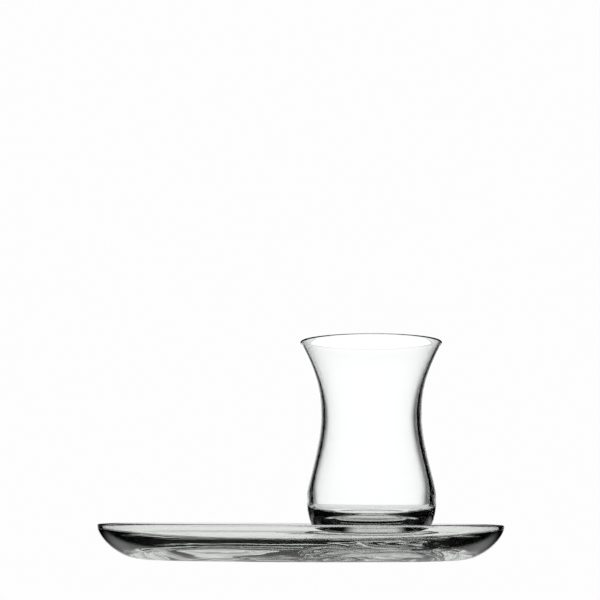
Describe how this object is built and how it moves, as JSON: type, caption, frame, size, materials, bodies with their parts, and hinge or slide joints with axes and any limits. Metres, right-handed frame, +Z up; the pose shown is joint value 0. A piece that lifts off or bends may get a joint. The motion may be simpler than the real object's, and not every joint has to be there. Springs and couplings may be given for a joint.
{
  "type": "waisted tea glass on an oval glass saucer",
  "caption": "Empty clear tea glass with a round belly, narrow waist and flared mouth, standing in the ringed well of a long shallow oval glass saucer.",
  "frame": {"origin": "on the table under the middle of the oval saucer, which is the bottom centre of the whole set's box", "axes": "+X along the saucer towards the end where the glass stands, +Z up"},
  "size_m": [0.172, 0.11, 0.093],
  "materials": {
    "tea_glass": "clear, fire-polished soda-lime glass, smooth inside and out",
    "saucer": "clear pressed soda-lime glass, smooth with faint waves from the mould"
  },
  "bodies": {
    "root": {"tea_glass": "tea_glass", "saucer": "saucer"}
  },
  "joints": []
}
